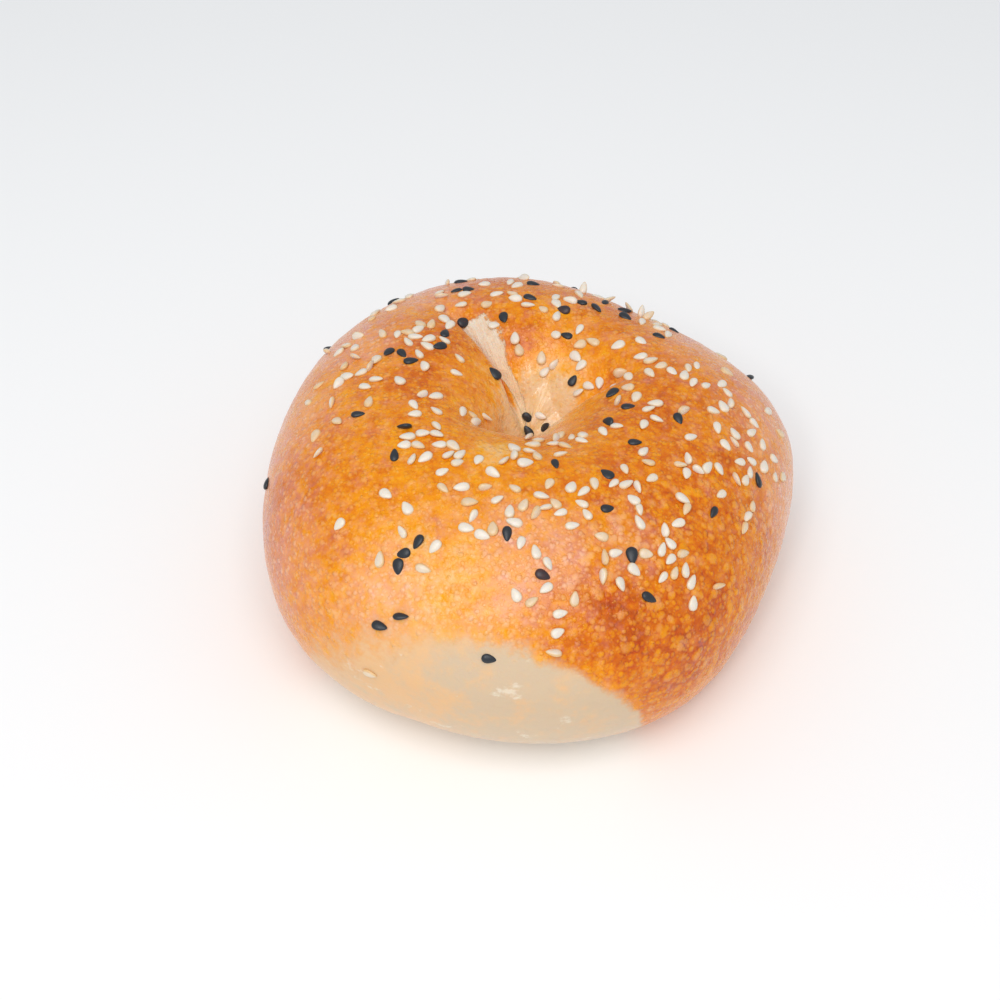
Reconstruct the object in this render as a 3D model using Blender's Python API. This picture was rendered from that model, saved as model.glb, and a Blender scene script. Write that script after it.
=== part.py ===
"""Sesame bagel: one baked ring whose hole has closed to a pinched navel, with sesame seeds stuck on.

Metres, +Z up, resting on z = 0. A place on the crust is given by two numbers. The bearing is the angle
round the navel, in degrees from +X towards +Y. The lap runs from the navel's floor over the crest and
down the side to the underside: 0 navel floor, 1 crest, 2 girth, 3 foot, 4 rim of the dimple below,
5 middle of that dimple.
"""
import math
import random

import bmesh
import bpy
from mathutils import Matrix, Vector

MM = 0.001

# Size of the whole
REACH = 54.0 * MM  # navel to the outside of the girth, on average
HEIGHT = 49.0 * MM
GIRTH_HEIGHT = 22.5 * MM  # how high the widest line lies
NAVEL_LEFT = 0.8 * MM  # the navel is off the middle of the bagel
NAVEL_BACK = 7.5 * MM
NAVEL_FLOOR = 27.0 * MM  # height of the closed hole's floor
CREST_SHARE = 0.47  # where the crest lies between navel and girth
CREST_SHARE_SWING = 0.04  # the crest lies further out at the back than at the front
FOOT_SHARE = 0.66  # where the flat underside begins
DIMPLE_RADIUS = 13.0 * MM
DIMPLE_HEIGHT = 8.0 * MM

# How full each quarter of the section is: 2 is round, more is boxier
NAVEL_FULLNESS = 1.83
NAVEL_FULLNESS_SWING = 0.21  # the wall is fuller at the back than at the front lip
SIDE_FULLNESS = 2.1
FOOT_FULLNESS = 2.2
DIMPLE_FULLNESS = 2.0

# Uneven plan and crest: waves a turn, size, bearing of a peak
REACH_WAVES = [
    (1, 7.5 * MM, 262.0),
    (2, 1.2 * MM, 106.0),
    (3, 1.4 * MM, 7.0),
    (4, 0.9 * MM, 17.0),
    (5, 0.5 * MM, 6.0),
]
CREST_WAVES = [
    (1, 1.0 * MM, 200.0),
    (2, 0.6 * MM, 30.0),
]

# Swellings and flats: bearing, lap, height, spread
SWELLS = [
    (92.0, 0.85, 1.6 * MM, 6.0 * MM),
    (62.0, 0.80, -1.2 * MM, 6.0 * MM),
    (152.0, 0.90, 1.2 * MM, 7.0 * MM),
    (300.0, 0.90, 0.8 * MM, 12.0 * MM),
    (215.0, 1.50, 0.8 * MM, 12.0 * MM),
    (8.0, 1.90, 1.1 * MM, 10.0 * MM),
    (45.0, 1.40, -1.3 * MM, 11.0 * MM),
    (20.0, 1.50, -1.0 * MM, 9.0 * MM),
    (303.0, 2.20, 1.3 * MM, 12.0 * MM),
    (178.0, 0.55, 1.6 * MM, 6.0 * MM),
    (338.0, 0.50, -0.8 * MM, 6.0 * MM),
    (228.0, 2.10, 1.0 * MM, 12.0 * MM),
]

# Creases of the pinched navel: bearing at the navel, turn in degrees for each mm outwards, depth,
# where it starts to fade and where it ends, width of the gentle side, width of the steep side, and
# which side is gentle (1 is towards higher bearings)
CREASES = [
    (121.0, 0.30, 5.5 * MM, 18.0 * MM, 31.0 * MM, 4.5 * MM, 1.0 * MM, -1),
    (2.0, 0.20, 5.0 * MM, 13.0 * MM, 25.0 * MM, 6.0 * MM, 1.0 * MM, 1),
    (232.0, 0.00, 4.0 * MM, 8.0 * MM, 20.0 * MM, 4.0 * MM, 3.0 * MM, 1),
]
CREASE_START = 4.0 * MM  # creases run out on the navel's floor over this distance
CREASE_LAP_END = 1.6  # creases stay above the girth
RELIEF_END = 3.0  # lap where the underside begins, which is flat
RELIEF_FADE = 0.3
BEARING_STEP = 0.05  # degrees over which the crust's slope is measured
LAP_STEP = 0.001

# Seeds
SEED_LENGTH = 2.9 * MM
SEED_WIDTH = 2.2 * MM
SEED_THICKNESS = 1.15 * MM
SEED_TIP = 0.62  # width near the tip, as a share of the width near the blunt end
SEED_SIZE_SPREAD = 0.11
SEED_TILT = 9.0  # degrees, most seeds
SEED_RISE = 0.05 * MM  # how far a seed's middle lies above the crust
STANDING_SHARE = 0.38  # share of its length by which an upright seed's middle is raised
SEED_GAP = 2.1 * MM  # least distance between seeds' middles
SEED_TRIES = 60
THROW_STEP = 0.01  # laps over which a throw's reach is measured
SCATTER_SEED = 12

# White seeds fell in handfuls: bearing, lap, number, spread
HANDFULS = [
    (161.5, 1.10, 8, 9.0 * MM),
    (150.5, 0.94, 6, 5.0 * MM),
    (171.5, 1.27, 4, 8.0 * MM),
    (189.5, 1.12, 6, 6.0 * MM),
    (184, 1.33, 3, 8.0 * MM),
    (176, 0.78, 4, 6.0 * MM),
    (209.5, 0.88, 4, 4.0 * MM),
    (225.5, 1.01, 7, 6.0 * MM),
    (228, 1.08, 3, 4.0 * MM),
    (239, 1.05, 5, 4.0 * MM),
    (204, 1.36, 2, 5.0 * MM),
    (223, 0.65, 4, 5.0 * MM),
    (120, 1.09, 6, 7.0 * MM),
    (102, 1.07, 6, 6.0 * MM),
    (97, 0.85, 3, 5.0 * MM),
    (78, 1.07, 4, 8.0 * MM),
    (70, 0.90, 3, 5.0 * MM),
    (80.5, 0.70, 4, 6.0 * MM),
    (49, 0.77, 4, 4.0 * MM),
    (38, 1.06, 4, 9.0 * MM),
    (18, 0.67, 5, 5.0 * MM),
    (7, 0.89, 4, 4.0 * MM),
    (8.5, 1.06, 4, 4.0 * MM),
    (1, 1.25, 6, 7.0 * MM),
    (350.5, 1.18, 4, 7.0 * MM),
    (346.5, 0.90, 3, 4.0 * MM),
    (355.5, 1.47, 5, 9.0 * MM),
    (332.5, 1.13, 6, 7.0 * MM),
    (314, 0.83, 2, 4.0 * MM),
    (293, 0.80, 4, 4.0 * MM),
    (267, 0.97, 4, 4.0 * MM),
    (249, 1.11, 5, 6.0 * MM),
    (259, 1.17, 7, 7.0 * MM),
    (277, 1.14, 6, 5.0 * MM),
    (286.5, 1.19, 3, 5.0 * MM),
    (296, 1.06, 3, 6.0 * MM),
    (308.5, 1.15, 5, 5.0 * MM),
    (305.5, 1.28, 6, 6.0 * MM),
    (268, 1.26, 4, 5.0 * MM),
    (302.5, 1.39, 5, 5.0 * MM),
    (321, 1.33, 6, 6.0 * MM),
    (339, 1.38, 5, 8.0 * MM),
    (337.5, 1.47, 6, 8.0 * MM),
    (325.5, 1.54, 4, 5.0 * MM),
    (348, 1.59, 4, 8.0 * MM),
    (288.5, 1.33, 4, 8.0 * MM),
    (273, 1.47, 4, 6.0 * MM),
    (289.5, 1.48, 4, 5.0 * MM),
    (304.5, 1.62, 3, 6.0 * MM),
    (244.5, 1.33, 5, 10.0 * MM),
    (232.5, 1.38, 2, 8.0 * MM),
    (274, 1.63, 2, 4.0 * MM),
    (243, 1.94, 1, 2.0 * MM),
    (151, 1.48, 5, 12.0 * MM),
    (122, 1.45, 7, 12.0 * MM),
    (95, 1.50, 7, 12.0 * MM),
    (65, 1.45, 7, 12.0 * MM),
    (35, 1.50, 6, 12.0 * MM),
]

# Black seeds, one by one: bearing, lap, and where the tip points, in degrees from +X towards +Y
BLACK_SEEDS = [
    (112.5, 1.32, 0),
    (118, 1.16, 210),
    (113.5, 1.14, 5),
    (124.5, 0.94, 40),
    (105, 0.86, 280),
    (89, 1.00, 335),
    (88, 1.19, 0),
    (71, 0.98, 165),
    (66, 1.11, 155),
    (58, 1.12, 300),
    (59, 1.26, 250),
    (62.5, 0.83, 160),
    (143, 0.55, 145),
    (32, 0.58, 50),
    (348.5, 0.76, 220),
    (334.5, 0.89, 0),
    (318, 0.85, 135),
    (315, 1.05, 0),
    (280.5, 1.00, 285),
    (93, 0.24, 285),
    (88, 0.165, 90),
    (10, 0.24, 20),
    (146.5, 0.87, 80),
    (159.5, 0.84, 210),
    (170, 1.07, 240),
    (171, 1.01, 300),
    (176, 0.95, 15),
    (202.5, 1.18, 0),
    (218, 1.05, 180),
    (225.5, 1.15, 90),
    (197, 1.75, 80),
    (245.5, 1.38, 240),
    (243.5, 1.44, 195),
    (243.5, 1.49, 260),
    (247, 1.66, 0),
    (243.5, 1.73, 335),
    (263.5, 1.74, 340),
    (265, 1.27, 270),
    (273, 1.41, 335),
    (291.5, 1.21, 15),
    (296.5, 1.09, 145),
    (292.5, 1.40, 280),
    (293, 1.57, 335),
    (317, 1.46, 250),
    (335.5, 1.57, 130),
    (336.5, 1.13, 290),
    (27.5, 1.14, 330),
    (34, 1.37, 325),
    (46, 1.17, 320),
    (51, 1.28, 0),
    (75, 1.50, 60),
    (100, 1.62, 200),
    (130, 1.55, 10),
    (152, 1.66, 95),
    (15, 1.62, 240),
]

# Seeds caught upright in a clump: bearing, lap, lean from the crust in degrees, heading
STANDING_SEEDS = [
    (69.5, 1.30, 65.0, 80),
    (59.5, 1.34, 35.0, 10),
    (51.5, 1.34, 40.0, 200),
    (46.5, 1.34, 70.0, 100),
    (43, 1.33, 45.0, 30),
]

# Facets
TURN_SEGMENTS = 54
LAP_RINGS = (8, 9, 6, 2, 3)  # rings of faces in each whole lap
LAP_END = float(len(LAP_RINGS))
SEED_SEGMENTS = 4
SEED_RINGS = 3
SKIP_EVERY = 4  # one white seed in so many is left out of the solid

CRUST_COLOUR = (0.72, 0.33, 0.09)
CRUST_ROUGHNESS = 0.35
SHARP_ANGLE = 40.0  # degrees between faces from which an edge is kept sharp


def waves(bearing, terms):
    """Sum of cosines round the navel."""
    return sum(size * math.cos(math.radians(turns * (bearing - peak))) for turns, size, peak in terms)


def ease(share):
    """Smooth step from 0 to 1."""
    share = min(max(share, 0.0), 1.0)
    return share * share * (3.0 - 2.0 * share)


def quarter(share, fullness):
    """A quarter of a superellipse: how far out and how far back at this share of the turn."""
    angle = share * math.pi / 2.0
    return math.sin(angle) ** (2.0 / fullness), max(math.cos(angle), 0.0) ** (2.0 / fullness)


def section(bearing, lap):
    """Distance from the navel's axis and height, before creases and swellings."""
    reach = REACH + waves(bearing, REACH_WAVES)
    crest = (CREST_SHARE + CREST_SHARE_SWING * math.sin(math.radians(bearing))) * reach
    crest_height = HEIGHT + waves(bearing, CREST_WAVES)
    foot = FOOT_SHARE * reach
    if lap <= 1.0:
        fullness = NAVEL_FULLNESS + NAVEL_FULLNESS_SWING * math.sin(math.radians(bearing))
        out, back = quarter(lap, fullness)
        return crest * (1.0 - back), NAVEL_FLOOR + (crest_height - NAVEL_FLOOR) * out
    if lap <= 2.0:
        out, back = quarter(lap - 1.0, SIDE_FULLNESS)
        return crest + (reach - crest) * out, GIRTH_HEIGHT + (crest_height - GIRTH_HEIGHT) * back
    if lap <= 3.0:
        out, back = quarter(lap - 2.0, FOOT_FULLNESS)
        return foot + (reach - foot) * back, GIRTH_HEIGHT * (1.0 - out)
    if lap <= 4.0:
        return foot + (DIMPLE_RADIUS - foot) * (lap - 3.0), 0.0
    out, back = quarter(lap - 4.0, DIMPLE_FULLNESS)
    return DIMPLE_RADIUS * (1.0 - out), DIMPLE_HEIGHT * (1.0 - back)


def plain_point(bearing, lap):
    """The point there, before creases and swellings."""
    out, height = section(bearing, lap)
    angle = math.radians(bearing)
    return Vector((out * math.cos(angle) - NAVEL_LEFT, out * math.sin(angle) + NAVEL_BACK, height))


def crease_depth(bearing, out):
    """How deep the navel's creases cut in at this bearing and distance from the navel."""
    depth = 0.0
    for start, turn, deep, fade, end, gentle, steep, side in CREASES:
        off = math.radians(bearing - start - turn * out / MM)
        ahead = out * math.cos(off)
        across = out * math.sin(off) * side
        along = ease(ahead / CREASE_START) * (1.0 - ease((out - fade) / (end - fade)))
        depth += deep * along * (math.exp(-across / gentle) if across > 0.0 else math.exp(across / steep))
    return depth


def relief(bearing, lap, point):
    """Height of the crust over its plain section."""
    if lap >= RELIEF_END:
        return 0.0
    out = math.hypot(point.x + NAVEL_LEFT, point.y - NAVEL_BACK)
    height = -crease_depth(bearing, out) if lap < CREASE_LAP_END else 0.0
    for swell_bearing, swell_lap, size, spread in SWELLS:
        apart = (point - plain_point(swell_bearing, swell_lap)).length
        height += size * math.exp(-(apart ** 2) / (2.0 * spread ** 2))
    return height * ease((RELIEF_END - lap) / RELIEF_FADE)


def crust(bearing, lap):
    """A point of the crust and the direction out of it."""
    point = plain_point(bearing, lap)
    round_navel = plain_point(bearing + BEARING_STEP, lap) - plain_point(bearing - BEARING_STEP, lap)
    down_lap = plain_point(bearing, min(lap + LAP_STEP, LAP_END)) - plain_point(bearing, max(lap - LAP_STEP, 0.0))
    outward = down_lap.cross(round_navel)
    outward = outward.normalized() if outward.length > 0.0 else Vector((0.0, 0.0, 1.0))
    return point + outward * relief(bearing, lap, point), outward


def thrown(draw, bearing, lap, spread):
    """A random place within the spread of this one."""
    middle = crust(bearing, lap)[0]
    each_degree = (crust(bearing + 1.0, lap)[0] - middle).length
    each_lap = (crust(bearing, lap + THROW_STEP)[0] - middle).length / THROW_STEP
    away = spread * math.sqrt(draw.random())
    towards = draw.uniform(0.0, 2.0 * math.pi)
    return bearing + away * math.cos(towards) / each_degree, lap + away * math.sin(towards) / each_lap


def seed_lie(bearing, lap, heading, tilt, rise, size):
    """How a seed lies: its tip along the crust on this heading, tilted up, its thickness outwards."""
    point, outward = crust(bearing, lap)
    angle = math.radians(heading)
    across = outward.cross(Vector((math.cos(angle), math.sin(angle), 0.0))).normalized()
    turned = Matrix((across.cross(outward), across, outward)).transposed()
    lie = Matrix.Translation(point + outward * rise) @ turned.to_4x4()
    return lie @ Matrix.Rotation(math.radians(-tilt), 4, "Y") @ Matrix.Scale(size, 4)


def settled_lie(draw, bearing, lap, heading):
    """A seed lying here, with its own tilt and size."""
    tilt = draw.uniform(-SEED_TILT, SEED_TILT)
    size = 1.0 + draw.uniform(-SEED_SIZE_SPREAD, SEED_SIZE_SPREAD)
    return seed_lie(bearing, lap, heading, tilt, SEED_RISE, size)


def standing_lie(bearing, lap, lean, heading):
    """A seed held upright by its blunt end."""
    rise = STANDING_SHARE * SEED_LENGTH * math.sin(math.radians(lean))
    return seed_lie(bearing, lap, heading, lean, rise, 1.0)


def black_lies(draw):
    """The black seeds."""
    return [settled_lie(draw, *place) for place in BLACK_SEEDS]


def white_lies(draw, taken):
    """The white seeds, each at least a gap from those already down."""
    lies = [standing_lie(*place) for place in STANDING_SEEDS]
    middles = [lie.translation for lie in taken + lies]
    for bearing, lap, number, spread in HANDFULS:
        for _ in range(number):
            for attempt in range(SEED_TRIES):
                widened = spread * (1.0 + attempt / SEED_TRIES)
                place = thrown(draw, bearing, lap, widened)
                lie = settled_lie(draw, *place, draw.uniform(0.0, 360.0))
                if all((lie.translation - middle).length > SEED_GAP for middle in middles):
                    lies.append(lie)
                    middles.append(lie.translation)
                    break
    return lies


def seed_mesh():
    """A flat teardrop along X, its tip towards +X."""
    built = bmesh.new()
    bmesh.ops.create_uvsphere(built, u_segments=SEED_SEGMENTS, v_segments=SEED_RINGS, radius=1.0)
    for vert in built.verts:
        across, thick, along = vert.co
        narrow = 1.0 - (1.0 - SEED_TIP) * (along + 1.0) / 2.0
        vert.co = (
            along * SEED_LENGTH / 2.0,
            across * narrow * SEED_WIDTH / 2.0,
            thick * narrow * SEED_THICKNESS / 2.0,
        )
    bmesh.ops.recalc_face_normals(built, faces=built.faces)
    mesh = bpy.data.meshes.new("seed")
    built.to_mesh(mesh)
    built.free()
    return mesh


def ring_lap(ring):
    """The lap of a ring of the sphere that the body is shaped from."""
    whole = 0
    for rings in LAP_RINGS:
        if ring <= rings:
            return whole + ring / rings
        ring -= rings
        whole += 1
    return LAP_END


def bagel_body(collection):
    """The bare bagel: a sphere whose every point is moved to its place on the crust."""
    built = bmesh.new()
    ring_count = sum(LAP_RINGS)
    bmesh.ops.create_uvsphere(built, u_segments=TURN_SEGMENTS, v_segments=ring_count, radius=1.0)
    for vert in built.verts:
        polar = math.acos(min(max(vert.co.z, -1.0), 1.0))
        bearing = math.degrees(math.atan2(vert.co.y, vert.co.x))
        vert.co = crust(bearing, ring_lap(round(polar / math.pi * ring_count)))[0]
    bmesh.ops.triangulate(built, faces=built.faces)
    mesh = bpy.data.meshes.new("bagel")
    built.to_mesh(mesh)
    built.free()
    body = bpy.data.objects.new("bagel", mesh)
    collection.objects.link(body)
    return body


def lay_seeds(collection, mesh, lies):
    """One object for each seed, ready to be fused."""
    for number, lie in enumerate(lies):
        seed = bpy.data.objects.new(f"seed_{number}", mesh)
        seed.matrix_world = lie
        collection.objects.link(seed)


def fuse(body, collection):
    """Unite the body with everything in the collection, then clear the collection."""
    bpy.context.view_layer.update()
    union = body.modifiers.new("seeds", "BOOLEAN")
    union.operation = "UNION"
    union.operand_type = "COLLECTION"
    union.collection = collection
    union.solver = "EXACT"
    with bpy.context.temp_override(object=body, active_object=body):
        bpy.ops.object.modifier_apply(modifier=union.name)
    for seed in list(collection.objects):
        bpy.data.objects.remove(seed)
    bpy.data.collections.remove(collection)


def crust_material():
    """Browned crust."""
    material = bpy.data.materials.new("crust")
    material.use_nodes = True
    surface = material.node_tree.nodes["Principled BSDF"]
    surface.inputs["Base Color"].default_value = (*CRUST_COLOUR, 1.0)
    surface.inputs["Roughness"].default_value = CRUST_ROUGHNESS
    surface.inputs["Metallic"].default_value = 0.0
    return material


def new_collection(name):
    """A collection linked to the scene."""
    collection = bpy.data.collections.new(name)
    bpy.context.scene.collection.children.link(collection)
    return collection


def main():
    """Build the bagel with its seeds fused on."""
    for leftover in list(bpy.data.objects):
        bpy.data.objects.remove(leftover)
    body = bagel_body(new_collection("sesame_bagel"))
    draw = random.Random(SCATTER_SEED)
    black = black_lies(draw)
    white = white_lies(draw, black)
    fused = black + [lie for number, lie in enumerate(white) if (number + 1) % SKIP_EVERY]
    seeds = new_collection("seeds")
    lay_seeds(seeds, seed_mesh(), fused)
    fuse(body, seeds)
    body.data.materials.clear()
    body.data.materials.append(crust_material())
    body.data.shade_smooth()
    body.data.set_sharp_from_angle(angle=math.radians(SHARP_ANGLE))


main()
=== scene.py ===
"""Looks of the sesame bagel: its baked crust, and the white and black seeds on it.

The crust and the seeds follow the same rules as the solid. A place on the crust is a bearing
round the navel, in degrees from +X towards +Y, and a lap that runs from the navel's floor (0)
over the crest (1) and down the side to the girth (2), the foot (3), the rim of the dimple
below (4) and its middle (5).
"""
import math
import random

import bmesh
import bpy
import numpy as np
from bpy.props import FloatProperty, FloatVectorProperty, PointerProperty
from mathutils import Matrix, Vector, noise


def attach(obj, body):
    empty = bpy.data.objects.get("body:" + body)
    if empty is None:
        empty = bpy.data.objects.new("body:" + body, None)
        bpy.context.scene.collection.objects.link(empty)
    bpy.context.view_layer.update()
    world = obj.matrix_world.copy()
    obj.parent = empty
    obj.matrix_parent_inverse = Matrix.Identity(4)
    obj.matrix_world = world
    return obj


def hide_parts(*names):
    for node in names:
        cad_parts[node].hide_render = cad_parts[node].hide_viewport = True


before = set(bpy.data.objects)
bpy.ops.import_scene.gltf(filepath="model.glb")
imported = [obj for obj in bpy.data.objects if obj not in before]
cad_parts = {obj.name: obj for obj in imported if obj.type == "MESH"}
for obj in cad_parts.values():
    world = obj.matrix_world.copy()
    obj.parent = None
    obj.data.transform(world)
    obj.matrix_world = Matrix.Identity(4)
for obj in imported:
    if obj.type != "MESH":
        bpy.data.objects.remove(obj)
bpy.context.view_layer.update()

bl_info = {
    "name": "Sesame Bagel",
    "version": (1, 0, 0),
    "blender": (4, 5, 0),
    "location": "3D View > Sidebar > Bagel",
    "description": "Baked crust and scattered sesame seeds of a bagel",
    "category": "Object",
}

MM = 0.001
BODY = "root"
NODE = "bagel"

# Form of the crust, as the solid has it
REACH = 54.0 * MM
HEIGHT = 49.0 * MM
GIRTH_HEIGHT = 22.5 * MM
NAVEL_LEFT = 0.8 * MM
NAVEL_BACK = 7.5 * MM
NAVEL_FLOOR = 27.0 * MM
CREST_SHARE = 0.47
CREST_SHARE_SWING = 0.04
FOOT_SHARE = 0.66
DIMPLE_RADIUS = 13.0 * MM
DIMPLE_HEIGHT = 8.0 * MM
NAVEL_FULLNESS = 1.83
NAVEL_FULLNESS_SWING = 0.21
SIDE_FULLNESS = 2.1
FOOT_FULLNESS = 2.2
DIMPLE_FULLNESS = 2.0
REACH_WAVES = [  # waves a turn, size, bearing of a peak
    (1, 7.5 * MM, 262.0),
    (2, 1.2 * MM, 106.0),
    (3, 1.4 * MM, 7.0),
    (4, 0.9 * MM, 17.0),
    (5, 0.5 * MM, 6.0),
]
CREST_WAVES = [
    (1, 1.0 * MM, 200.0),
    (2, 0.6 * MM, 30.0),
]
SWELLS = [  # bearing, lap, height, spread
    (92.0, 0.85, 1.6 * MM, 6.0 * MM),
    (62.0, 0.80, -1.2 * MM, 6.0 * MM),
    (152.0, 0.90, 1.2 * MM, 7.0 * MM),
    (300.0, 0.90, 0.8 * MM, 12.0 * MM),
    (215.0, 1.50, 0.8 * MM, 12.0 * MM),
    (8.0, 1.90, 1.1 * MM, 10.0 * MM),
    (45.0, 1.40, -1.3 * MM, 11.0 * MM),
    (20.0, 1.50, -1.0 * MM, 9.0 * MM),
    (303.0, 2.20, 1.3 * MM, 12.0 * MM),
    (178.0, 0.55, 1.6 * MM, 6.0 * MM),
    (338.0, 0.50, -0.8 * MM, 6.0 * MM),
    (228.0, 2.10, 1.0 * MM, 12.0 * MM),
]
CREASES = [  # bearing, turn a mm, depth, fade, end, gentle width, steep width, gentle side
    (121.0, 0.30, 5.5 * MM, 18.0 * MM, 31.0 * MM, 4.5 * MM, 1.0 * MM, -1),
    (2.0, 0.20, 5.0 * MM, 13.0 * MM, 25.0 * MM, 6.0 * MM, 1.0 * MM, 1),
    (232.0, 0.00, 4.0 * MM, 8.0 * MM, 20.0 * MM, 4.0 * MM, 3.0 * MM, 1),
]
CREASE_START = 4.0 * MM
CREASE_LAP_END = 1.6
RELIEF_END = 3.0
RELIEF_FADE = 0.3
BEARING_STEP = 0.05
LAP_STEP = 0.001
SHORTEST = 1e-30  # of a direction that still points anywhere
LAP_END = 5.0

# Scatter of the seeds, as the solid has it, but for the last handfuls
SEED_SIZE_SPREAD = 0.11
SEED_TILT = 9.0
SEED_RISE = 0.05 * MM
STANDING_SHARE = 0.38
SEED_GAP = 2.1 * MM
SEED_TRIES = 60
THROW_STEP = 0.01
SCATTER_SEED = 12
HANDFULS = [  # bearing, lap, number, spread
    (161.5, 1.10, 8, 9.0 * MM),
    (150.5, 0.94, 6, 5.0 * MM),
    (171.5, 1.27, 4, 8.0 * MM),
    (189.5, 1.12, 6, 6.0 * MM),
    (184, 1.33, 3, 8.0 * MM),
    (176, 0.78, 4, 6.0 * MM),
    (209.5, 0.88, 4, 4.0 * MM),
    (225.5, 1.01, 7, 6.0 * MM),
    (228, 1.08, 3, 4.0 * MM),
    (239, 1.05, 5, 4.0 * MM),
    (204, 1.36, 2, 5.0 * MM),
    (223, 0.65, 4, 5.0 * MM),
    (120, 1.09, 6, 7.0 * MM),
    (102, 1.07, 6, 6.0 * MM),
    (97, 0.85, 3, 5.0 * MM),
    (78, 1.07, 4, 8.0 * MM),
    (70, 0.90, 3, 5.0 * MM),
    (80.5, 0.70, 4, 6.0 * MM),
    (49, 0.77, 4, 4.0 * MM),
    (38, 1.06, 4, 9.0 * MM),
    (18, 0.67, 5, 5.0 * MM),
    (7, 0.89, 4, 4.0 * MM),
    (8.5, 1.06, 4, 4.0 * MM),
    (1, 1.25, 6, 7.0 * MM),
    (350.5, 1.18, 4, 7.0 * MM),
    (346.5, 0.90, 3, 4.0 * MM),
    (355.5, 1.47, 5, 9.0 * MM),
    (332.5, 1.13, 6, 7.0 * MM),
    (314, 0.83, 2, 4.0 * MM),
    (293, 0.80, 4, 4.0 * MM),
    (267, 0.97, 4, 4.0 * MM),
    (249, 1.11, 5, 6.0 * MM),
    (259, 1.17, 7, 7.0 * MM),
    (277, 1.14, 6, 5.0 * MM),
    (286.5, 1.19, 3, 5.0 * MM),
    (296, 1.06, 3, 6.0 * MM),
    (308.5, 1.15, 5, 5.0 * MM),
    (305.5, 1.28, 6, 6.0 * MM),
    (268, 1.26, 4, 5.0 * MM),
    (302.5, 1.39, 5, 5.0 * MM),
    (321, 1.33, 6, 6.0 * MM),
    (339, 1.38, 5, 8.0 * MM),
    (337.5, 1.47, 6, 8.0 * MM),
    (325.5, 1.54, 4, 5.0 * MM),
    (348, 1.59, 4, 8.0 * MM),
    (288.5, 1.33, 4, 8.0 * MM),
    (273, 1.47, 4, 6.0 * MM),
    (289.5, 1.48, 4, 5.0 * MM),
    (304.5, 1.62, 3, 6.0 * MM),
    (244.5, 1.33, 5, 10.0 * MM),
    (232.5, 1.38, 2, 8.0 * MM),
    (274, 1.63, 2, 4.0 * MM),
    (243, 1.94, 1, 2.0 * MM),
    (151, 1.48, 5, 12.0 * MM),
    (122, 1.45, 7, 12.0 * MM),
    (95, 1.50, 7, 12.0 * MM),
    (65, 1.45, 7, 12.0 * MM),
    (35, 1.50, 6, 12.0 * MM),
    # In the scene alone, on the navel's front lip and in gaps between the handfuls
    (271, 0.73, 3, 2.2 * MM),
    (291, 0.79, 4, 3.0 * MM),
    (269, 0.93, 3, 2.4 * MM),
    (232, 1.29, 1, 0.5 * MM),
    (207.5, 1.37, 1, 0.5 * MM),
    (297.5, 1.53, 1, 0.5 * MM),
    (302.5, 1.60, 1, 0.5 * MM),
    (308.5, 1.70, 1, 0.5 * MM),
    (267.5, 1.49, 1, 0.5 * MM),
    (279, 1.51, 1, 0.5 * MM),
    (157.5, 1.01, 3, 2.5 * MM),
    (41, 0.28, 1, 0.5 * MM),
]
BLACK_SEEDS = [  # bearing, lap, where the tip points
    (112.5, 1.32, 0),
    (118, 1.16, 210),
    (113.5, 1.14, 5),
    (124.5, 0.94, 40),
    (105, 0.86, 280),
    (89, 1.00, 335),
    (88, 1.19, 0),
    (71, 0.98, 165),
    (66, 1.11, 155),
    (58, 1.12, 300),
    (59, 1.26, 250),
    (62.5, 0.83, 160),
    (143, 0.55, 145),
    (32, 0.58, 50),
    (348.5, 0.76, 220),
    (334.5, 0.89, 0),
    (318, 0.85, 135),
    (315, 1.05, 0),
    (280.5, 1.00, 285),
    (93, 0.24, 285),
    (88, 0.165, 90),
    (10, 0.24, 20),
    (146.5, 0.87, 80),
    (159.5, 0.84, 210),
    (170, 1.07, 240),
    (171, 1.01, 300),
    (176, 0.95, 15),
    (202.5, 1.18, 0),
    (218, 1.05, 180),
    (225.5, 1.15, 90),
    (197, 1.75, 80),
    (245.5, 1.38, 240),
    (243.5, 1.44, 195),
    (243.5, 1.49, 260),
    (247, 1.66, 0),
    (243.5, 1.73, 335),
    (263.5, 1.74, 340),
    (265, 1.27, 270),
    (273, 1.41, 335),
    (291.5, 1.21, 15),
    (296.5, 1.09, 145),
    (292.5, 1.40, 280),
    (293, 1.57, 335),
    (317, 1.46, 250),
    (335.5, 1.57, 130),
    (336.5, 1.13, 290),
    (27.5, 1.14, 330),
    (34, 1.37, 325),
    (46, 1.17, 320),
    (51, 1.28, 0),
    (75, 1.50, 60),
    (100, 1.62, 200),
    (130, 1.55, 10),
    (152, 1.66, 95),
    (15, 1.62, 240),
]
STANDING_SEEDS = [  # bearing, lap, lean, heading
    (69.5, 1.30, 65.0, 80),
    (59.5, 1.34, 35.0, 10),
    (51.5, 1.34, 40.0, 200),
    (46.5, 1.34, 70.0, 100),
    (43, 1.33, 45.0, 30),
]

# Shape of a seed, and how it lies
SEED_TIP = 0.50
SEED_TAPER = 1.1
SEED_SEGMENTS = 20
SEED_RINGS = 12
SEED_SHAPE_SPREAD = 0.15
SEED_ROLL = 11.0  # degrees, as most seeds lie
ON_EDGE_SHARE = 0.16
ON_EDGE_ROLL = (38.0, 70.0)
ON_EDGE_RISE = 0.4
WHITE_DRAW = 21
BLACK_DRAW = 22

# Mesh of the crust
TURN_SEGMENTS = 480
LAP_RINGS = (56, 88, 36, 14, 12)  # rings of faces in each whole lap
FINE_BEARINGS = 3601
CROWDING = 1.1
CROWD_BEARING = 300.0
CROWD_SPREAD = 50.0

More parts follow.
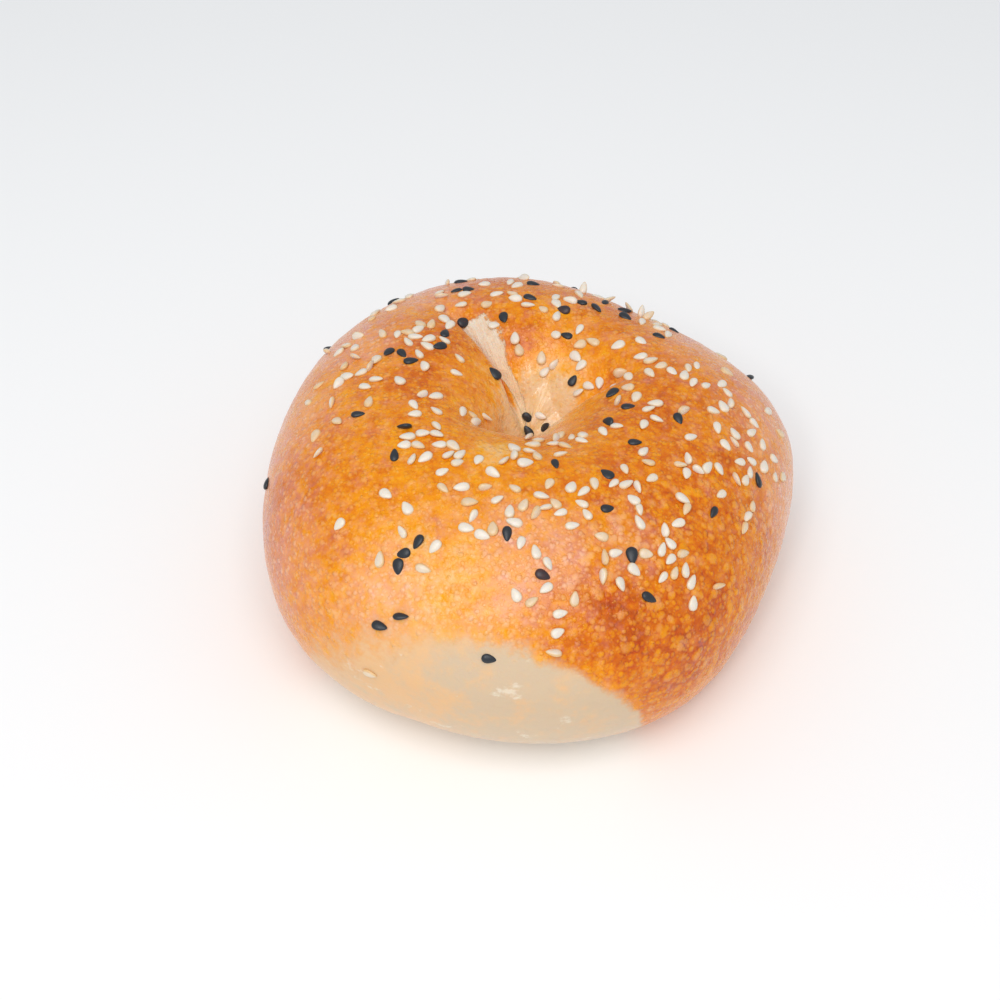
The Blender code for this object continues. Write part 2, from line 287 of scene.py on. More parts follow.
# How the crust was baked, and where light and shade are painted on it
EVEN_BAKE = 0.505
BROWNING_AND_PAINTED_SHADE = [  # bearing, lap, how much darker, spread: mostly browning, in two places painted light and painted shade
    (161.0, 0.89, 0.17, 5.0 * MM),
    (194.0, 0.88, 0.14, 5.5 * MM),
    # Lighter here as painted light, on the navel's left slope that faces away from the lamps
    (203.0, 0.66, -0.17, 4.0 * MM),
    (186.0, 0.48, 0.05, 3.0 * MM),
    (90.5, 0.95, 0.26, 1.3 * MM),
    (80.0, 0.98, -0.14, 5.0 * MM),
    (89.0, 0.75, 0.14, 2.8 * MM),
    (104.0, 0.68, 0.08, 2.0 * MM),
    (347.0, 1.13, 0.15, 12.0 * MM),
    (322.0, 1.66, 0.09, 12.0 * MM),
    (299.0, 1.88, 0.21, 10.0 * MM),
    (287.0, 1.68, 0.13, 6.0 * MM),
    (60.0, 1.25, 0.06, 12.0 * MM),
    (105.0, 1.15, 0.06, 10.0 * MM),
    (90.0, 1.70, 0.08, 26.0 * MM),
    (150.0, 1.80, 0.06, 22.0 * MM),
    (250.0, 1.40, -0.09, 7.0 * MM),
    (254.0, 1.62, -0.20, 8.0 * MM),
    (228.0, 1.75, -0.06, 12.0 * MM),
    # Darker here as painted shade along the left rim
    (211.0, 1.78, 0.25, 11.0 * MM),
    (312.0, 1.35, 0.06, 15.0 * MM),
    (296.0, 1.20, 0.11, 6.0 * MM),
    (284.0, 1.50, 0.14, 5.5 * MM),
    (277.0, 1.62, 0.13, 3.5 * MM),
    (255.0, 0.90, -0.34, 2.8 * MM),
    (225.0, 0.45, -0.16, 3.0 * MM),
    (241.0, 0.66, -0.16, 2.6 * MM),
    (170.0, 0.22, -0.24, 2.6 * MM),
    (45.0, 0.64, -0.14, 4.0 * MM),
    (22.0, 0.66, -0.10, 4.0 * MM),
    (55.0, 0.35, -0.46, 6.5 * MM),
    (85.0, 0.30, -0.40, 5.0 * MM),
    (20.0, 0.30, -0.42, 4.5 * MM),
    (225.0, 1.40, 0.05, 8.0 * MM),
]
PAINTED_HIGHLIGHTS = [  # painted highlight and painted sheen, a pink haze of light painted into the crust's colour: bearing, lap, how much, spread
    (276.0, 1.33, 0.46, 5.5 * MM),
    (266.0, 1.27, 0.52, 5.0 * MM),
    (268.0, 1.46, 0.44, 6.0 * MM),
    (250.0, 1.25, 0.20, 5.0 * MM),
    (243.0, 1.63, 0.46, 8.0 * MM),
    (262.0, 1.60, 0.30, 5.0 * MM),
    (292.0, 1.35, 0.28, 5.0 * MM),
    (346.0, 1.90, 0.72, 10.0 * MM),
    (0.0, 1.62, 0.55, 11.0 * MM),
    (20.0, 1.38, 0.50, 9.0 * MM),
    (160.0, 1.35, 0.60, 9.0 * MM),
    (190.0, 1.65, 0.50, 12.0 * MM),
    (214.0, 1.82, 0.42, 11.0 * MM),
    (128.0, 1.33, 0.62, 9.0 * MM),
    (60.0, 1.85, 0.35, 18.0 * MM),
    (110.0, 1.95, 0.30, 18.0 * MM),
]

# The dough stayed pale where the bagel lay against another in the oven, and on the baking board
PALE_BORDER = [  # bearing, lap of the border, laps over which it fades
    (222.0, 2.15, 0.40),
    (231.0, 1.83, 0.36),
    (243.0, 1.68, 0.26),
    (254.0, 1.63, 0.12),
    (263.0, 1.62, 0.09),
    (270.0, 1.64, 0.09),
    (278.0, 1.755, 0.08),
    (282.0, 1.84, 0.08),
    (285.0, 1.90, 0.09),
    (288.5, 2.02, 0.12),
    (292.5, 2.40, 0.30),
]
PALE_NOWHERE = 3.2
PALE_LIMITS = (-3.0, 4.0)
UNDERSIDE_LAP = 2.75
UNDERSIDE_SOFTNESS = 0.25

# The strip of raw dough beside the first crease, and the torn edge on its left
RAW_STRIP_WIDTHS = [  # lap, degrees on the right of the crease
    (0.60, 12.0),
    (0.80, 17.0),
    (0.92, 14.0),
    (1.02, 5.0),
]
RAW_STRIP_LAPS = (0.05, 1.02)
RAW_STRIP_FADE = 0.2  # laps
RAW_STRIP_BEND = 11.0  # degrees by which its lower end runs to the right
BEND_END = 0.25  # lap up to which it is bent in full
BEND_FADE = 0.45
RAW_LEFT_SOFTNESS = 0.5 * MM
RAW_RIGHT_REACH = 1.1  # strip widths
RAW_RIGHT_SOFTNESS = 0.45
RAW_END_START = 0.4
RAW_END_SOFTNESS = 0.3
TORN_EDGE_HEIGHT = 0.60 * MM
TORN_EDGE_WIDTH = 0.45 * MM
TORN_EDGE_OFFSET = 0.8  # edge widths to the left of the tear
TORN_EDGE_BROWN = 0.16
TORN_EDGE_EVEN = 0.75
TORN_EDGE_RAGGED = 0.6
TORN_EDGE_NOTCH = 2.5 * MM
TORN_EDGE_LAYER = 7

# How blistered the crust is
COBBLED = [  # bearing, lap, how much more, spread
    (298.0, 1.72, 0.75, 13.0 * MM),
    (318.0, 1.55, 0.55, 13.0 * MM),
    (285.0, 1.45, 0.35, 10.0 * MM),
    (335.0, 1.85, 0.40, 16.0 * MM),
    (100.0, 1.75, 0.35, 30.0 * MM),
    (215.0, 1.60, 0.10, 20.0 * MM),
]
EVEN_COBBLE = 0.15
# Sizes of blister: cell, share of cells with a dome, smallest and largest radius in cells
LARGE_DOMES = (2.15 * MM, 0.80, 0.36, 0.62)
SMALL_DOMES = (1.30 * MM, 0.80, 0.36, 0.62)
FINE_DOMES = (0.80 * MM, 0.75, 0.35, 0.62)
DOME_HEIGHT = 0.26 * MM
DOME_BEND = 0.4  # cells by which the domes are bent out of round
DOME_BEND_SIZE = 0.8
LOWEST_DOME = 0.55
RING_INNER = 0.72
RING_OUTER = 1.25

# How strongly each size of blister shows in the colour, everywhere and where it is cobbled
LARGE_SHOW = 1.2
SMALL_SHOW = 0.75
SMALL_SHOW_COBBLED = 0.15
FINE_SHOW = 0.60
SMALL_RING_SHOW = 0.45
SMALL_RING_COBBLED = 0.4
FINE_RING_SHOW = 0.25

# Lumps of the crust, and puckers that run into the navel
UNEVEN = [  # size of the lumps, height
    (16.0 * MM, 0.30 * MM),
    (5.5 * MM, 0.14 * MM),
]
PUCKER_WIDTH = 5.0  # degrees
PUCKER_RUN = 0.4  # laps
PUCKER_HEIGHT = 0.08 * MM
PUCKER_LAYER = 5
PUCKER_START = 0.15  # laps over which they begin
PUCKER_END = 0.35  # lap where they begin to fade
PUCKER_FADE = 0.45
NAVEL_FLOOR_LAPS = 0.1
NAVEL_END = 0.45
NAVEL_FADE = 0.45
LAYER_SHIFT = (7.3, 3.1, 5.7)  # between the noises of two layers

# Patterns in the finish of the crust: size, detail, roughness and distortion of the noise
PATTERNS = {
    "broad": (7.0 * MM, 3.0),
    "mottle": (2.2 * MM, 4.0, 0.62),
    "speck": (0.8 * MM, 3.0, 0.6),
    "grain": (0.4 * MM, 3.0, 0.6),
    "wrinkle": (0.9 * MM, 3.0, 0.6, 1.6),
    "veil": (2.4 * MM, 3.0, 0.65),
}
FAN_PATTERNS = {  # in the fan's own measure
    "streaks": (1.0, 1.5),
    "strands": (0.28, 3.0, 0.6),
}
FLOUR = (7.0 * MM, 6.0, 0.70)
FLOUR_SQUASH = (1.0, 1.0, 1.5)
FLOUR_WINDOW = (0.585, 0.68)

# Shares of the patterns in the browning, the borders, the dough's tones and the relief
HEAT = {"broad": 0.48, "mottle": 0.75, "speck": 0.30}
STREAK_HEAT = {"streaks": 0.45}
DOME_HEAT = -0.10
RING_HEAT = 0.06
PALE_EDGE = {"broad": 1.2, "mottle": 1.6}
RAW_EDGE = {"mottle": 1.4, "speck": 0.8, "strands": 0.8}
RAW_SHARPNESS = 0.40
PAINTED_HIGHLIGHT_EVEN = 0.56
PAINTED_HIGHLIGHT_ON_BLISTERS = 0.55
PAINTED_HIGHLIGHT_PATCHES = {"mottle": 1.3}
VEIL_MIDDLE = 0.54
VEIL_DEPTH = 0.36  # how far it lifts and lowers the blue
VEIL_GREEN = 0.38  # and the green, as a share of that
DOUGH_TONE = {"broad": 0.9, "mottle": 0.7}
DOUGH_WINDOW = (0.73, 1.20)
STRAND_TONE = {"strands": 1.0, "speck": 0.5}
STRAND_WINDOW = (0.69, 0.93)
RELIEF = {"small": 0.16, "fine": 0.10, "mottle": 0.14, "speck": 0.07, "grain": 0.014}
RAW_RELIEF = {"wrinkle": 0.22, "strands": 0.30}
ROUGHNESS_SWING = {"mottle": 0.16}

# Places and limits of the finish, and shares of what is mixed in
WARM_SIDE = (-32.0 * MM, 2.0 * MM)  # the pale crust is warmer on the left
WARM_SHARE = 0.32
FOOT_FLOUR_AND_BOUNCE = (3.0 * MM, 26.0 * MM)  # and lighter near the foot: partly flour, partly painted bounce light from the floor
FOOT_FLOUR_AND_BOUNCE_SHARE = 0.34
FLOUR_SHARE = 0.55
STRAND_SHARE = 0.65
INNER_SHARE = 0.8
BLISTER_WINDOW = (0.08, 0.75)
BLISTER_SHARE = 0.42
BARE_SMOOTHER = 0.70
NAVEL_SMOOTHER = 0.30
BARE_ROUGHER = 0.30
COAT = 0.05
BARE_COAT_LESS = 0.04
NAVEL_COAT_MORE = 0.30

# Finish of the seeds
WHITE_CLOUD = (1.2 * MM, 2.0)
WHITE_GRAIN = (0.35 * MM, 2.0)
WHITE_RELIEF = 0.02
CLOUD_SHARE = 0.5
TOASTED_WINDOW = (0.5, 1.0)
TOASTED_SHARE = 0.6
# Painted shade at the seeds' edges: tan, as if the crust's colour showed through
EDGE_SHADE_WINDOW = (0.45, 1.0)
EDGE_SHADE_SHARE = 0.60
BLACK_CLOUD = (0.8 * MM, 3.0)
BLACK_GRAIN = (0.22 * MM, 2.0)
BLACK_RELIEF = 0.03
BLACK_ROUGHNESS = 0.34
BLACK_ROUGHNESS_SWING = 0.2
WORN_PATCHES = 0.2
RUBBED_WINDOW = (0.90, 1.0)
RUBBED_SHARE = 0.6

BAKE_STOPS = [  # heat, colour
    (0.00, (0.84, 0.57, 0.31)),
    (0.15, (0.89, 0.49, 0.16)),
    (0.30, (0.91, 0.39, 0.050)),
    (0.42, (0.88, 0.315, 0.012)),
    (0.55, (0.80, 0.25, 0.007)),
    (0.68, (0.69, 0.165, 0.003)),
    (0.82, (0.57, 0.105, 0.002)),
    (1.00, (0.38, 0.062, 0.002)),
]

# View and stage
AIM = Vector((-NAVEL_LEFT, 0.0, 25.0 * MM))
SENSOR = 36.0
FOCAL_SHARE = 1.470  # focal length as a share of the picture's width
VIEW_SHIFT = (-0.028, -0.013)
CLIP_START = 0.01
FILL_COLOUR = (0.90, 0.94, 1.0)
LAMP_DISTANCE = 0.9
LAMPS = [  # name, azimuth, elevation, size, share of the key lamp's power
    ("key", -5.0, 62.0, (0.7, 0.6), 1.0),
    ("window", -18.0, 42.0, (0.10, 0.10), 0.22),
]
FLOOR_SIZE = 4.0


# Form of the crust

def waves(bearing, terms):
    """Sum of cosines round the navel."""
    return sum(size * np.cos(np.radians(turns * (bearing - peak))) for turns, size, peak in terms)


def ease(share):
    """Smooth step from 0 to 1."""
    share = np.clip(share, 0.0, 1.0)
    return share * share * (3.0 - 2.0 * share)


def quarter(share, fullness):
    """A quarter of a superellipse: how far out and how far back at this share of the turn."""
    angle = np.clip(share, 0.0, 1.0) * np.pi / 2.0
    return np.sin(angle) ** (2.0 / fullness), np.clip(np.cos(angle), 0.0, 1.0) ** (2.0 / fullness)


def section(bearing, lap):
    """Distance from the navel's axis and height, before creases and swellings."""
    reach = REACH + waves(bearing, REACH_WAVES)
    crest = (CREST_SHARE + CREST_SHARE_SWING * np.sin(np.radians(bearing))) * reach
    crest_height = HEIGHT + waves(bearing, CREST_WAVES)
    foot = FOOT_SHARE * reach
    navel_fullness = NAVEL_FULLNESS + NAVEL_FULLNESS_SWING * np.sin(np.radians(bearing))
    navel_out, navel_back = quarter(lap, navel_fullness)
    side_out, side_back = quarter(lap - 1.0, SIDE_FULLNESS)
    foot_out, foot_back = quarter(lap - 2.0, FOOT_FULLNESS)
    dimple_out, dimple_back = quarter(lap - 4.0, DIMPLE_FULLNESS)
    laps = [lap <= 1.0, lap <= 2.0, lap <= 3.0, lap <= 4.0]
    out = np.select(laps, [
        crest * (1.0 - navel_back),
        crest + (reach - crest) * side_out,
        foot + (reach - foot) * foot_back,
        foot + (DIMPLE_RADIUS - foot) * (lap - 3.0),
    ], DIMPLE_RADIUS * (1.0 - dimple_out))
    height = np.select(laps, [
        NAVEL_FLOOR + (crest_height - NAVEL_FLOOR) * navel_out,
        GIRTH_HEIGHT + (crest_height - GIRTH_HEIGHT) * side_back,
        GIRTH_HEIGHT * (1.0 - foot_out),
        0.0 * lap,
    ], DIMPLE_HEIGHT * (1.0 - dimple_back))
    return out, height


def plain_points(bearing, lap):
    """The points there, before creases and swellings."""
    out, height = section(bearing, lap)
    angle = np.radians(bearing)
    across = out * np.cos(angle) - NAVEL_LEFT
    back = out * np.sin(angle) + NAVEL_BACK
    return np.stack([across, back, height], axis=-1)


def from_navel(points):
    """Distance of points from the navel's axis."""
    return np.hypot(points[..., 0] + NAVEL_LEFT, points[..., 1] - NAVEL_BACK)


def crease_depth(bearing, out):
    """How deep the navel's creases cut in at these bearings and distances from the navel."""
    depth = 0.0 * out
    for start, turn, deep, fade, end, gentle, steep, side in CREASES:
        off = np.radians(bearing - start - turn * out / MM)
        ahead = out * np.cos(off)
        across = out * np.sin(off) * side
        along = ease(ahead / CREASE_START) * (1.0 - ease((out - fade) / (end - fade)))
        beside = np.exp(-np.maximum(across, 0.0) / gentle) * np.exp(np.minimum(across, 0.0) / steep)
        depth = depth + deep * along * beside
    return depth


def relief(bearing, lap, points):
    """Height of the crust over its plain section."""
    creased = -crease_depth(bearing, from_navel(points))
    height = np.where(lap < CREASE_LAP_END, creased, 0.0)
    for swell_bearing, swell_lap, size, spread in SWELLS:
        height = height + size * nearness(points, swell_bearing, swell_lap, spread)
    return height * ease((RELIEF_END - lap) / RELIEF_FADE)


def nearness(points, bearing, lap, spread):
    """1 at a place on the crust, falling away with distance over the spread."""
    middle = plain_points(np.float64(bearing), np.float64(lap))
    return np.exp(-((points - middle) ** 2).sum(axis=-1) / (2.0 * spread ** 2))


def crust(bearing, lap):
    """Points of the crust and the directions out of it."""
    bearing = np.asarray(bearing, dtype=np.float64)
    lap = np.asarray(lap, dtype=np.float64)
    points = plain_points(bearing, lap)
    round_navel = plain_points(bearing + BEARING_STEP, lap)
    round_navel = round_navel - plain_points(bearing - BEARING_STEP, lap)
    down_lap = plain_points(bearing, np.minimum(lap + LAP_STEP, LAP_END))
    down_lap = down_lap - plain_points(bearing, np.maximum(lap - LAP_STEP, 0.0))
    outward = np.cross(down_lap, round_navel)
    length = np.linalg.norm(outward, axis=-1, keepdims=True)
    outward = np.where(length > 0.0, outward / np.maximum(length, SHORTEST), (0.0, 0.0, 1.0))
    return points + outward * relief(bearing, lap, points)[..., None], outward


# Scatter of the seeds

def thrown(draw, bearing, lap, spread):
    """A random place within the spread of this one."""
    bearings = [bearing, bearing + 1.0, bearing]
    laps = [lap, lap, lap + THROW_STEP]
    middle, along_turn, along_lap = crust(bearings, laps)[0]
    each_degree = np.linalg.norm(along_turn - middle)
    each_lap = np.linalg.norm(along_lap - middle) / THROW_STEP
    away = spread * math.sqrt(draw.random())
    towards = draw.uniform(0.0, 2.0 * math.pi)
    bearing = bearing + away * math.cos(towards) / each_degree
    return bearing, lap + away * math.sin(towards) / each_lap


def seed_lie(bearing, lap, heading, tilt, rise, size):
    """How a seed lies: its tip along the crust on this heading and tilted up."""
    point, outward = (Vector(row) for row in crust(bearing, lap))
    angle = math.radians(heading)
    across = outward.cross(Vector((math.cos(angle), math.sin(angle), 0.0))).normalized()
    turned = Matrix((across.cross(outward), across, outward)).transposed()
    lie = Matrix.Translation(point + outward * rise) @ turned.to_4x4()
    return lie @ Matrix.Rotation(math.radians(-tilt), 4, "Y") @ Matrix.Scale(size, 4)


def settled_lie(draw, bearing, lap, heading):
    """A seed lying here, with its own tilt and size."""
    tilt = draw.uniform(-SEED_TILT, SEED_TILT)
    size = 1.0 + draw.uniform(-SEED_SIZE_SPREAD, SEED_SIZE_SPREAD)
    return seed_lie(bearing, lap, heading, tilt, SEED_RISE, size)


def standing_lie(bearing, lap, lean, heading, length):
    """A seed held upright by its blunt end."""
    rise = STANDING_SHARE * length * math.sin(math.radians(lean))
    return seed_lie(bearing, lap, heading, lean, rise, 1.0)


def scatter(length):
    """The lies of the black seeds and of the white ones, each a gap or more from its neighbours."""
    draw = random.Random(SCATTER_SEED)
    black = [settled_lie(draw, *place) for place in BLACK_SEEDS]
    white = [standing_lie(*place, length) for place in STANDING_SEEDS]
    middles = [lie.translation for lie in black + white]
    for bearing, lap, number, spread in HANDFULS:
        for _ in range(number):
            for attempt in range(SEED_TRIES):
                widened = spread * (1.0 + attempt / SEED_TRIES)
                place = thrown(draw, bearing, lap, widened)
                lie = settled_lie(draw, *place, draw.uniform(0.0, 360.0))
                if all((lie.translation - middle).length > SEED_GAP for middle in middles):
                    white.append(lie)
                    middles.append(lie.translation)
                    break
    return black, white


def from_lowest(corners):
    """A face's corners from the lowest on, so that the mesh is the same each run."""
    first = corners.index(min(corners))
    return corners[first:] + corners[:first]


def seed_template(sizes):
    """A flat teardrop with its tip towards +X: points, how near the rim each lies, and faces."""
    built = bmesh.new()
    bmesh.ops.create_uvsphere(built, u_segments=SEED_SEGMENTS, v_segments=SEED_RINGS, radius=1.0)
    along = np.array([vert.co.z for vert in built.verts])
    across = np.array([vert.co.x for vert in built.verts])
    thick = np.array([vert.co.y for vert in built.verts])
    faces = sorted(from_lowest([vert.index for vert in face.verts]) for face in built.faces)
    built.free()
    narrow = 1.0 - (1.0 - SEED_TIP) * ((along + 1.0) / 2.0) ** SEED_TAPER
    narrow = narrow / (narrow * np.sqrt(1.0 - along ** 2)).max()
    points = np.stack([
        along * sizes.length / 2.0,
        across * narrow * sizes.width / 2.0,
        thick * narrow * sizes.thickness / 2.0,
    ], axis=1)
    rim = 1.0 - thick ** 2
    return points, rim, faces


def mesh_piece(name, points, faces, attributes):
    """A smooth mesh piece with a number or a vector for each point under each attribute's name."""
    mesh = bpy.data.meshes.new(name)
    mesh.from_pydata(points.tolist(), [], faces)
    for attribute, values in attributes.items():
        kind, field = ("FLOAT_VECTOR", "vector") if values.ndim == 2 else ("FLOAT", "value")
        layer = mesh.attributes.new(attribute, kind, "POINT")
        layer.data.foreach_set(field, values.astype(np.float32).ravel())
    mesh.shade_smooth()
    piece = bpy.data.objects.new(name, mesh)
    bpy.context.scene.collection.objects.link(piece)
    return piece


def seed_piece(name, lies, sizes, tint_seed):
    """All seeds of one colour as one piece."""
    template, rim, template_faces = seed_template(sizes)
    draw = random.Random(tint_seed)
    points, faces, tints = [], [], []
    for number, lie in enumerate(lies):
        turn = np.array(lie.to_3x3())
        plump = 1.0 + draw.uniform(-SEED_SHAPE_SPREAD, SEED_SHAPE_SPREAD)
        roll = draw.gauss(0.0, SEED_ROLL)
        if draw.random() < ON_EDGE_SHARE:
            roll = draw.choice((-1.0, 1.0)) * draw.uniform(*ON_EDGE_ROLL)
        roll = math.radians(roll)
        rise = abs(math.sin(roll)) * (sizes.width - sizes.thickness) * ON_EDGE_RISE
        rolled = np.array(Matrix.Rotation(roll, 3, "X"))
        own = (template * (1.0, plump, 1.0)) @ rolled.T + (0.0, 0.0, rise)
        points.append(own @ turn.T + np.array(lie.translation))
        first = number * len(template)
        faces.extend([[first + index for index in face] for face in template_faces])
        tints.append(np.full(len(template), draw.random()))
    attributes = {
        "rim": np.tile(rim, len(lies)),
        "tint": np.concatenate(tints),
    }
    return mesh_piece(name, np.concatenate(points), faces, attributes)


# Nodes written as expressions

class Value:
    """A socket of a node, so that sums on it add their Math nodes."""

    def __init__(self, nodes, socket):
        self.nodes = nodes
        self.socket = socket

    def other(self, name):
        """Another output of the same node."""
        return Value(self.nodes, self.socket.node.outputs[name])

    def __add__(self, term):
        return self.nodes.maths("ADD", self, term)

    def __sub__(self, term):
        return self.nodes.maths("SUBTRACT", self, term)

    def __rsub__(self, term):
        return self.nodes.maths("SUBTRACT", term, self)

    def __mul__(self, term):
        return self.nodes.maths("MULTIPLY", self, term)

    def __truediv__(self, term):
        return self.nodes.maths("DIVIDE", self, term)

    __radd__ = __add__
    __rmul__ = __mul__


class Nodes:
    """Adds nodes to one tree."""

    def __init__(self, tree):
        self.tree = tree

    def add(self, kind, settings=None, values=None, output=0):
        """A new node: its settings are made first, then its sockets get their values or links."""
        node = self.tree.nodes.new(kind)
        for name, setting in (settings or {}).items():
            if name == "stops":
                set_stops(node.color_ramp, setting)
            else:
                setattr(node, name, setting)
        for name, value in (values or {}).items():
            self.put(node.inputs[name], value)
        return Value(self, node.outputs[output]) if node.outputs else node

    def put(self, socket, value):
        """Link a value to a socket, or set the socket to a number or colour."""
        if isinstance(value, Value):
            self.tree.links.new(value.socket, socket)
        else:
            socket.default_value = value

    def maths(self, operation, *terms):
        """A number from other numbers."""
        return self.add("ShaderNodeMath", {"operation": operation}, dict(enumerate(terms)))

    def window(self, value, low, high):
        """Smooth step from 0 at low to 1 at high."""
        limits = {"Value": value, "From Min": low, "From Max": high}
        return self.add("ShaderNodeMapRange", {"interpolation_type": "SMOOTHSTEP"}, limits)

    def vector(self, operation, *terms):
        """A vector or colour from others."""
        return self.add("ShaderNodeVectorMath", {"operation": operation}, dict(enumerate(terms)))

    def scaled(self, vector, factor):
        """A vector times a number."""
        values = {0: vector, "Scale": factor}
        return self.add("ShaderNodeVectorMath", {"operation": "SCALE"}, values)

    def mix(self, share, first, second):
        """A colour between two."""
        return self.add("ShaderNodeMix", {"data_type": "RGBA"}, {0: share, 6: first, 7: second}, 2)

    def noise(self, place, size, detail=2.0, roughness=0.5, distortion=0.0):
        """Soft noise around 0.5 with features of about this size."""
        values = {
            "Vector": place,
            "Scale": 1.0 / size,
            "Detail": detail,
            "Roughness": roughness,
            "Distortion": distortion,
        }
        return self.add("ShaderNodeTexNoise", None, values)

    def domes(self, place, cell, share, smallest, largest):
        """Round domes, one a cell in most cells: their height, and 1 on the ring round each."""
        bent = self.noise(place, cell * DOME_BEND_SIZE, 1.0).other("Color")
        bent = self.scaled(self.vector("SUBTRACT", bent, (0.5, 0.5, 0.5)), cell * DOME_BEND)
        place = self.vector("ADD", place, bent)
        cells = self.add("ShaderNodeTexVoronoi", None, {"Vector": place, "Scale": 1.0 / cell})
        chance = self.add("ShaderNodeSeparateXYZ", None, {"Vector": cells.other("Color")})
        radius = smallest + (largest - smallest) * chance.other("Y")
        present = self.maths("LESS_THAN", chance, share)
        reach = cells / radius
        height = self.maths("MAXIMUM", 1.0 - reach * reach, 0.0) * present
        height = height * (LOWEST_DOME + chance.other("Z") * (1.0 - LOWEST_DOME))
        ring = self.window(reach, RING_INNER, 1.0) * (1.0 - self.window(reach, 1.0, RING_OUTER))
        return height, ring * present


def set_stops(ramp, stops):
    """Give a colour ramp these stops: position and colour."""
    while len(ramp.elements) < len(stops):
        ramp.elements.new(1.0)
    for element, (position, colour) in zip(ramp.elements, stops):
        element.position = position
        element.color = (*colour, 1.0)


class Finish(Nodes):
    """The nodes of a new material."""

    def __init__(self, name):
        self.material = bpy.data.materials.new(name)
        self.material.use_nodes = True
        super().__init__(self.material.node_tree)
        self.shader = self.tree.nodes["Principled BSDF"]

    def attribute(self, name, output="Fac"):
        """What the mesh holds under this name."""
        return self.add("ShaderNodeAttribute", {"attribute_name": name}, None, output)

    def surface(self, **values):
        """Set or link the shader's sockets, named with _ for each space."""
        for name, value in values.items():
            self.put(self.shader.inputs[name.replace("_", " ")], value)

    def bump(self, height):
        """A bumped normal from a height in millimetres."""
        return self.add("ShaderNodeBump", None, {"Distance": MM, "Height": height})


# The crust

def turned(bearing, middle):
    """Degrees from one bearing to another, from -180 to 180."""
    return (bearing - middle + 180.0) % 360.0 - 180.0


def column_bearings():
    """Bearings of the crust's columns, closer together where the blisters are largest."""
    fine = np.linspace(0.0, 360.0, FINE_BEARINGS)
    crowding = 1.0 + CROWDING * np.exp(-(turned(fine, CROWD_BEARING) / CROWD_SPREAD) ** 2)
    passed = np.concatenate([[0.0], np.cumsum((crowding[1:] + crowding[:-1]) / 2.0)])
    return np.interp(np.arange(TURN_SEGMENTS) / TURN_SEGMENTS * passed[-1], passed, fine)


def ring_laps():
    """Laps of the crust's rings, without the two end points."""
    whole = [start + np.arange(1, rings + 1) / rings for start, rings in enumerate(LAP_RINGS)]
    return np.concatenate(whole)[:-1]


def crust_faces(rings, columns):
    """Faces of a closed skin whose first and last points close its ends."""
    last = rings * columns + 1
    faces = []
    for column in range(columns):
        following = (column + 1) % columns
        faces.append((0, 1 + column, 1 + following))
        for ring in range(rings - 1):
            upper = 1 + ring * columns
            lower = upper + columns
            faces.append((upper + column, lower + column, lower + following, upper + following))
        end = 1 + (rings - 1) * columns
        faces.append((end + column, last, end + following))
    return faces


def soft_noise(points, size, layer):
    """Smooth noise from -1 to 1 with features of this size."""
    shift = Vector([layer * step for step in LAYER_SHIFT])
    return np.array([noise.noise(Vector(point) / size + shift) for point in points])


def fan(bearing, lap):
    """Places on a fan spread round the navel, where noise makes streaks that run into it."""
    angle = np.radians(bearing)
    spread = 1.0 / math.radians(PUCKER_WIDTH)
    return np.stack([spread * np.cos(angle), spread * np.sin(angle), lap / PUCKER_RUN], axis=1)


def beside_tear(bearing, lap, out):
    """Degrees from the tear along the left of the raw strip, less than 0 on the strip."""
    start, turn = CREASES[0][:2]
    bend = RAW_STRIP_BEND * (1.0 - ease((lap - BEND_END) / BEND_FADE))
    return turned(bearing, start + turn * out / MM - bend)


def tear_run(lap):
    """1 along the raw strip, falling to 0 at its ends."""
    low, high = RAW_STRIP_LAPS
    fading = ease((lap - high + RAW_STRIP_FADE) / RAW_STRIP_FADE)
    return ease((lap - low) / RAW_STRIP_FADE) * (1.0 - fading)


def crust_fields(bearing, lap, points):
    """What varies over the crust: browning, a painted highlight, bare dough, the raw strip and how
    blistered it is.
    """
    out = from_navel(points)
    bake = np.full(len(points), EVEN_BAKE)
    for bake_bearing, bake_lap, darker, spread in BROWNING_AND_PAINTED_SHADE:
        bake += darker * nearness(points, bake_bearing, bake_lap, spread)
    # Painted highlight: where a pink haze of light is painted on
    blush = np.zeros(len(points))
    for highlight_bearing, highlight_lap, share, spread in PAINTED_HIGHLIGHTS:
        blush = np.maximum(blush, share * nearness(points, highlight_bearing, highlight_lap, spread))
    bearings, laps, softness = zip(*PALE_BORDER)
    whole = bearing % 360.0
    border = np.interp(whole, bearings, laps, left=PALE_NOWHERE, right=PALE_NOWHERE)
    pale = (lap - border) / np.interp(whole, bearings, softness)
    pale = np.maximum(pale, (lap - UNDERSIDE_LAP) / UNDERSIDE_SOFTNESS)
    off = beside_tear(bearing, lap, out)
    across = out * np.radians(off)
    along = tear_run(lap)
    beside = (across - TORN_EDGE_WIDTH) / (2.0 * TORN_EDGE_WIDTH)
    bake += TORN_EDGE_BROWN * np.exp(-beside ** 2) * along
    strip_width = np.interp(lap, *zip(*RAW_STRIP_WIDTHS))
    left = -across / RAW_LEFT_SOFTNESS
    right = (off / strip_width + RAW_RIGHT_REACH) / RAW_RIGHT_SOFTNESS
    ends = (along - RAW_END_START) / RAW_END_SOFTNESS
    raw = np.clip(np.minimum(np.minimum(left, right), ends), -1.0, 1.0)
    cobbled = np.full(len(points), EVEN_COBBLE)
    for place_bearing, place_lap, more, spread in COBBLED:
        cobbled += more * nearness(points, place_bearing, place_lap, spread)
    cobbled = np.clip(cobbled, 0.0, 1.0) * (1.0 - ease(pale)) * (1.0 - ease(raw))
    navel = (1.0 - ease((lap - NAVEL_END) / NAVEL_FADE)) * ease(lap / NAVEL_FLOOR_LAPS)
    return {
        "bake": bake,
        "blush": blush,
        "pale": np.clip(pale, *PALE_LIMITS),
        "raw": raw,
        "cobbled": cobbled,
        "navel": navel,
    }


